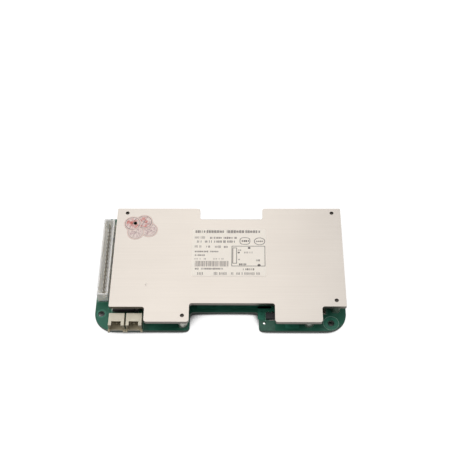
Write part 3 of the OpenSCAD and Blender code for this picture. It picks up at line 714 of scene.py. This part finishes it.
# Boxes given in board millimetres become closed shapes between two heights.
def inkShapes(boxes, low, high):
    boxes = np.asarray(boxes, float)
    level = np.zeros(len(boxes))
    return boxShapes(np.column_stack([boardLow[:2] + boxes[:, :2] * mm, level + low]),
                     np.column_stack([boardLow[:2] + boxes[:, 2:] * mm, level + high]))


# A line of board millimetres, as the flat points that a ribbon follows.
def boardLine(places):
    return [onBoard(x, y)[:2] for x, y in places]


# Corners of a box (x0, y0, x1, y1) in board millimetres, as a line to close.
def boxLine(x0, y0, x1, y1):
    return boardLine([(x0, y0), (x1, y0), (x1, y1), (x0, y1)])


# Closed ring x = a c |c|^(2/n - 1), y = b s |s|^(2/n - 1), with c, s = cos, sin: an oval for n = 2,
# with straighter sides for larger n.
def ovalRing(x, y, a, b, power, width, low, high, around=64, tiny=1e-9):
    angle = np.linspace(0, 2 * math.pi, around, endpoint=False)
    c, s = np.cos(angle), np.sin(angle)
    bend = 2 / power - 1
    ring = np.column_stack([a * c * np.abs(c + tiny) ** bend,
                            b * s * np.abs(s + tiny) ** bend]) * mm
    return ribbonShape(onBoard(x, y)[:2] + ring, width * mm, low, high, True)


# Ring between two radii and two heights, as a profile to turn; a disc if the inner radius is 0.
def ringProfile(inner, outer, low, high):
    return [(inner * mm, low), (outer * mm, low), (outer * mm, high), (inner * mm, high)]


# Label print: rows of plain strokes, a field of bars, two ovals and a plain outline of a board.
def printLabel():
    sheet = {
        "film": 0.1, "ink": 0.015, "line": 0.32,
        # left end, right end, height on the board, height of the marks, pitch, width of a stroke
        "dark": [
            (50.0, 85.2, 54.7, 2.0, 1.47, 0.31), (50.2, 54.4, 48.3, 1.8, 1.95),
            (55.6, 71.8, 48.3, 1.7, 1.6), (74.9, 78.6, 48.7, 1.4, 1.0), (51.4, 56.4, 28.35, 1.8, 2.4),
            (60.0, 85.0, 28.35, 1.9, 2.05), (73.6, 77.8, 34.0, 1.3, 0.8)],
        "faint": [
            (50.2, 56.4, 50.9, 1.7, 1.9), (58.2, 72.3, 50.7, 1.5, 1.1), (50.3, 54.2, 45.2, 1.8, 1.9),
            (56.0, 58.8, 45.1, 1.5, 1.3), (60.9, 64.6, 45.0, 1.7, 1.7), (65.6, 68.0, 44.9, 1.4, 1.1),
            (50.4, 57.2, 42.0, 1.1, 0.9), (58.4, 62.6, 42.0, 1.1, 0.9), (50.5, 55.9, 39.7, 1.1, 0.9),
            (50.4, 56.2, 37.4, 1.0, 2.1), (59.6, 66.8, 37.4, 1.0, 2.1), (50.8, 66.0, 31.3, 1.3, 1.05),
            (75.6, 81.6, 31.0, 1.3, 1.0), (76.3, 80.6, 41.4, 1.3, 1.1), (82.4, 85.0, 36.5, 1.3, 1.1),
            (82.4, 86.0, 48.5, 1.0, 1.0), (73.2, 74.6, 42.9, 0.9, 0.9), (73.2, 74.4, 37.0, 0.9, 0.9)],
        "bars": (50.3, 68.6, 32.7, 36.1), "barCount": 46,
        "barWidths": [0.16, 0.28, 0.46], "barGaps": [0.16, 0.22, 0.36],
        "outlines": [(69.8, 33.0, 87.0, 45.4), (70.3, 34.7, 72.3, 44.3)],
        # middle and radius of each dot; middle, half width, half height and power of each oval
        "dots": [(78.8, 44.3, 0.7), (73.4, 41.4, 0.55), (83.9, 33.5, 0.8)], "dotAround": 20,
        "ovals": [(76.6, 48.7, 2.6, 2.1, 3.2), (84.3, 48.5, 2.75, 2.2, 2.0)]}
    low = plateTop + sheet["film"] * mm
    high = low + sheet["ink"] * mm
    shapes = [inkShapes(rowOfMarks(*row), low, high) for row in sheet["dark"]]
    shapes += [ribbonShape(boxLine(*outline), sheet["line"] * mm, low, high, True)
               for outline in sheet["outlines"]]
    shapes += [ovalRing(*oval, sheet["line"], low, high) for oval in sheet["ovals"]]
    shapes += [turnedShapes(onBoard(x, y), ringProfile(0, radius, low, high), sheet["dotAround"])
               for x, y, radius in sheet["dots"]]
    makePiece("labelPrintDark", *joinShapes(shapes), "ink", "label_paper")

    x0, x1, y0, y1 = sheet["bars"]
    widths = rng.choice(sheet["barWidths"], sheet["barCount"])
    ends = x0 + np.cumsum(widths + rng.choice(sheet["barGaps"], sheet["barCount"]))
    level = np.zeros(sheet["barCount"])
    bars = np.column_stack([ends - widths, level + y0, ends, level + y1])
    shapes = [inkShapes(bars[ends < x1], low, high)]
    shapes += [inkShapes(rowOfMarks(*row), low, high) for row in sheet["faint"]]
    makePiece("labelPrintFaint", *joinShapes(shapes), "faintInk", "label_paper")


printLabel()
print("label and seals laid")

# Places of the header's pins, from front to back, and of the fixing holes, in board millimetres.
header = {"x": 3.7, "firstY": 19.45, "pitch": 2.5, "ways": 18}
balancePins = [(header["x"], header["firstY"] + header["pitch"] * i) for i in range(header["ways"])]
holes = {"left": (3.3, 9.6), "right": (120.2, 4.5)}


# A via is a low ring: a profile of (radius, height) points turned about its own axis.
def viaShapes(places, faceZ, up):
    via = {"hole": 0.16 * mm, "ring": 0.42 * mm, "flat": 0.336 * mm, "shoulder": 0.021 * mm,
           "height": 0.035 * mm, "around": 14}
    ring = [(via["hole"], 0), (via["ring"], 0), (via["ring"], up * via["shoulder"]),
            (via["flat"], up * via["height"]), (via["hole"], up * via["height"])]
    return turnedShapes(np.array([onBoard(x, y, faceZ) for x, y in places]), ring, via["around"])


# Copper under the mask, as ribbons along polylines: a track for each way of the header, on both
# sides of its resistor, and wide bands between the power parts.
def layTopCopper():
    copper = {
        "thick": 0.035, "track": 0.45, "wide": 3.2, "pinEdge": 1.0, "resistor": (8.2, 11.7),
        "bend": (12.2, 0.7), "ends": (13.0, 17.1),      # every other track runs on to a transistor
        "bands": [[(84.7, 6.6), (84.7, 12.8), (92.0, 12.8)], [(52.0, 14.6), (90.0, 14.6)],
                  [(52.0, 61.4), (86.0, 61.4)], [(27.5, 4.2), (27.5, 9.8), (41.0, 9.8)],
                  [(97.0, 3.0), (104.0, 3.0)]],
        # inner and outer radius of the ring round each fixing hole
        "rings": {"right": (1.85, 3.6), "left": (1.85, 2.5)}, "around": 64}
    low, high = boardTop, boardTop + copper["thick"] * mm
    near, far = copper["resistor"]
    bendX, rise = copper["bend"]
    lines = []
    for index, (x, y) in enumerate(balancePins):
        end = copper["ends"][index % 2]
        lines.append(([(x + copper["pinEdge"], y), (near, y)], copper["track"]))
        lines.append(([(far, y), (bendX, y), (bendX, y + rise), (end, y + rise)], copper["track"]))
    lines += [(band, copper["wide"]) for band in copper["bands"]]
    shapes = [ribbonShape(boardLine(line), width * mm, low, high) for line, width in lines]
    for side, (inner, outer) in copper["rings"].items():
        profile = ringProfile(inner, outer, low, high)
        shapes.append(turnedShapes([onBoard(*holes[side])], profile, copper["around"]))
    makePiece("topCopper", *joinShapes(shapes), "copperUnderMask", "solder_mask")


# White print of the board: outlines round the parts, a dot at the first pin of some, and a ring round
# the right fixing hole.
def printBoard():
    ink = {
        "thick": 0.02, "line": 0.16, "ring": (3.78, 4.02), "ringAround": 64, "dotAround": 16, "dot": 0.3,
        "dots": [(7.7, 17.4), (25.0, 54.4), (29.2, 37.2), (38.3, 50.9), (38.3, 41.9)],
        "outlines": [(0.5, 16.6, 7.0, 64.8), (7.3, 0.2, 16.4, 8.0), (16.4, 0.2, 25.2, 8.0),
                     (8.3, 8.8, 25.6, 15.8), (87.0, 6.0, 94.0, 11.4), (35.9, 52.9, 44.1, 61.1),
                     (24.2, 44.2, 33.8, 53.8), (28.4, 27.4, 37.6, 36.6), (27.9, 19.4, 40.1, 24.6),
                     (38.7, 43.7, 45.3, 50.3), (38.7, 34.7, 45.3, 41.3), (93.0, 9.6, 118.4, 16.8),
                     (52.8, 62.4, 85.8, 69.0)]}
    low, high = boardTop, boardTop + ink["thick"] * mm
    ring = ringProfile(*ink["ring"], low, high)
    shapes = [turnedShapes([onBoard(*holes["right"])], ring, ink["ringAround"])]
    shapes += [ribbonShape(boxLine(*outline), ink["line"] * mm, low, high, True)
               for outline in ink["outlines"]]
    centres = np.array([onBoard(x, y) for x, y in ink["dots"]])
    shapes.append(turnedShapes(centres, ringProfile(0, ink["dot"], low, high), ink["dotAround"]))
    makePiece("boardPrint", *joinShapes(shapes), "boardPrint", "solder_mask")


# Tinned lands that the leads are soldered to: boxes a little larger than each foot.
def layLands():
    land = {"thick": 0.05, "fetX": [54 + 12 * i for i in range(6)], "fetLead": 2.54, "fetHalf": 0.75,
            "fetRows": ((19.1, 22.6), (53.4, 56.9)), "shuntX": (95, 102, 109, 116), "shuntHalf": 1.8,
            "shuntRows": ((9.6, 11.6), (14.8, 16.8)), "resistorHalf": 0.85,
            "resistorColumns": ((8.1, 8.9), (10.9, 11.7))}
    leadX = [x + side * land["fetLead"] for x in land["fetX"] for side in (-1, 1)]
    lands = [(x - land["fetHalf"], y0, x + land["fetHalf"], y1)
             for x in leadX for y0, y1 in land["fetRows"]]
    lands += [(x - land["shuntHalf"], y0, x + land["shuntHalf"], y1)
              for x in land["shuntX"] for y0, y1 in land["shuntRows"]]
    lands += [(x0, y - land["resistorHalf"], x1, y + land["resistorHalf"])
              for _, y in balancePins for x0, x1 in land["resistorColumns"]]
    shape = inkShapes(lands, boardTop, boardTop + land["thick"] * mm)
    makePiece("tinnedLands", *shape, "solder", "solder")


# Solder that fills the cable pad's hole: a low cap h(r) = h0 (1 - (r / R)^2) with a flat underside.
def fillPadHole():
    bead = {"place": (86.5, 4.4), "foot": 0.1, "radius": 0.72, "height": 0.35, "steps": 9, "around": 24}
    share = np.linspace(1, 0, bead["steps"])
    low = boardTop + bead["foot"] * mm
    dome = [(bead["radius"] * mm * r, low + bead["height"] * mm * (1 - r * r)) for r in share]
    shape = turnedShapes([onBoard(*bead["place"])], [(0, low)] + dome, bead["around"])
    # the near-white solder of this bead is a painted glint
    makePiece("padHoleSolder", *shape, "brightSolder", "solder")


# Underside: masked copper bands, with a track from each pin that leads towards the chip, and three
# beads of solder that thicken the current path.
def layUnderside():
    under = {
        "thick": 0.035, "track": 0.5, "pinEdge": 1.3, "lane": 0.4, "bendX": (8, 12, 21),
        "middleY": 41, "gather": 0.45, "bead": 0.55, "beadWidth": 2.4, "along": 60, "across": 13,
        "endPower": 24, "lumps": ((0.06, 37), (0.05, 91)),      # share of the height, waves
        "beads": [(68, 110, 17.6), (68, 110, 58.4), (54, 114, 36.2)],      # both ends, y
        "bands": [([(66, 19), (112, 19)], 6.0), ([(66, 57), (112, 57)], 6.0), ([(52, 38), (116, 38)], 7.0),
                  ([(88, 6), (88, 15), (96, 15)], 6.0), ([(56, 62.5), (84, 62.5)], 5.0),
                  ([(24, 30), (24, 54)], 1.2), ([(30, 12), (44, 12), (44, 30)], 1.0),
                  ([(27, 24), (27, 33), (36, 33)], 0.8), ([(40, 50), (52, 50)], 1.0)]}
    low, high = boardUnder - under["thick"] * mm, boardUnder
    bands = list(under["bands"])
    first, second, last = under["bendX"]
    for index, (x, y) in enumerate(balancePins):
        lane = under["lane"] * (index % 3)
        gathered = under["middleY"] + (y - under["middleY"]) * under["gather"]
        line = [(x + under["pinEdge"], y), (first + lane, y), (second + lane, gathered), (last, gathered)]
        bands.append((line, under["track"]))
    shapes = [ribbonShape(boardLine(line), width * mm, low, high) for line, width in bands]
    makePiece("undersideCopper", *joinShapes(shapes), "copperUnderMask", "solder_mask")

    # bead: half an ellipse swept along a line, z = z0 - h sqrt(1 - s^2), lumpy and with rounded ends
    along = np.linspace(0, 1, under["along"])
    turn = np.linspace(0, math.pi, under["across"])
    a, t = np.meshgrid(along, turn, indexing="ij")
    quads = gridQuads(under["along"], under["across"], False, True)
    (long, longWaves), (short, shortWaves) = under["lumps"]
    beads = []
    for x0, x1, y in under["beads"]:
        lumpy = 1 + long * np.sin(longWaves * a + y) + short * np.sin(shortWaves * a)
        swell = np.sqrt(np.clip((1 - np.abs(2 * a - 1) ** under["endPower"]) * lumpy, 0, None))
        start = onBoard(x0, y)
        px = start[0] + a * (x1 - x0) * mm
        py = start[1] + np.cos(t) * swell * under["beadWidth"] / 2 * mm
        pz = boardUnder - np.sin(t) * swell * under["bead"] * mm
        beads.append((np.stack([px, py, pz], -1).reshape(-1, 3), quads))
    makePiece("currentPathSolder", *joinShapes(beads), "solder", "solder")


# Vias: a row across each power band, a block by the battery pad, and loose ones among the small parts.
def layVias():
    across = [(x, y) for x in np.arange(67, 112, 4.0) for y in (21.2, 54.6)]
    block = [(85.2 + 1.6 * i, 8.0 + 1.5 * j) for i in range(3) for j in range(3)]
    loose = [(24.5, 33), (26.2, 39), (31, 40.5), (38.2, 28.4), (44.4, 31.6), (46.6, 52.2), (35, 44),
             (22, 24), (30.6, 17), (45.6, 20), (6.8, 12.6), (8.3, 66.6), (124, 22), (125, 40), (110, 64),
             (98, 66)]
    for name, faceZ, up in (("viasTop", boardTop, 1), ("viasUnder", boardUnder, -1)):
        makePiece(name, *viaShapes(across + block + loose, faceZ, up), "copperUnderMask", "solder_mask")


# Pale stripe down the sleeve that marks the capacitor's negative side: a strip of a tube,
# y = r cos t, z = r sin t, over a narrow range of t.
def stripeSleeve():
    stripe = {"from": 0.12, "to": 0.78, "turn": (98, 142), "lift": 0.02, "sunk": 0.05, "steps": 12}
    low, high = boxOf("supply_capacitor")
    radius = (high[2] - low[2]) / 2
    along = np.linspace(stripe["from"], stripe["to"], stripe["steps"])
    turn = np.radians(np.linspace(*stripe["turn"], stripe["steps"]))
    a, t = np.meshgrid(along, turn, indexing="ij")
    axisY, axisZ = (low[1] + high[1]) / 2, (low[2] + high[2]) / 2

    def skin(r):
        return np.stack([low[0] + a * (high[0] - low[0]), axisY + r * np.cos(t), axisZ + r * np.sin(t)], -1)

    outer, inner = skin(radius + stripe["lift"] * mm), skin(radius - stripe["sunk"] * mm)
    loop = np.concatenate([outer, inner[:, ::-1]], 1)
    rows, columns = loop.shape[:2]
    makePiece("sleeveStripe", loop.reshape(-1, 3), gridQuads(rows, columns, False, True),
              "sleevePrint", "capacitor_sleeve")


layTopCopper()
printBoard()
layLands()
fillPadHole()
layUnderside()
layVias()
stripeSleeve()
print("board dressed")
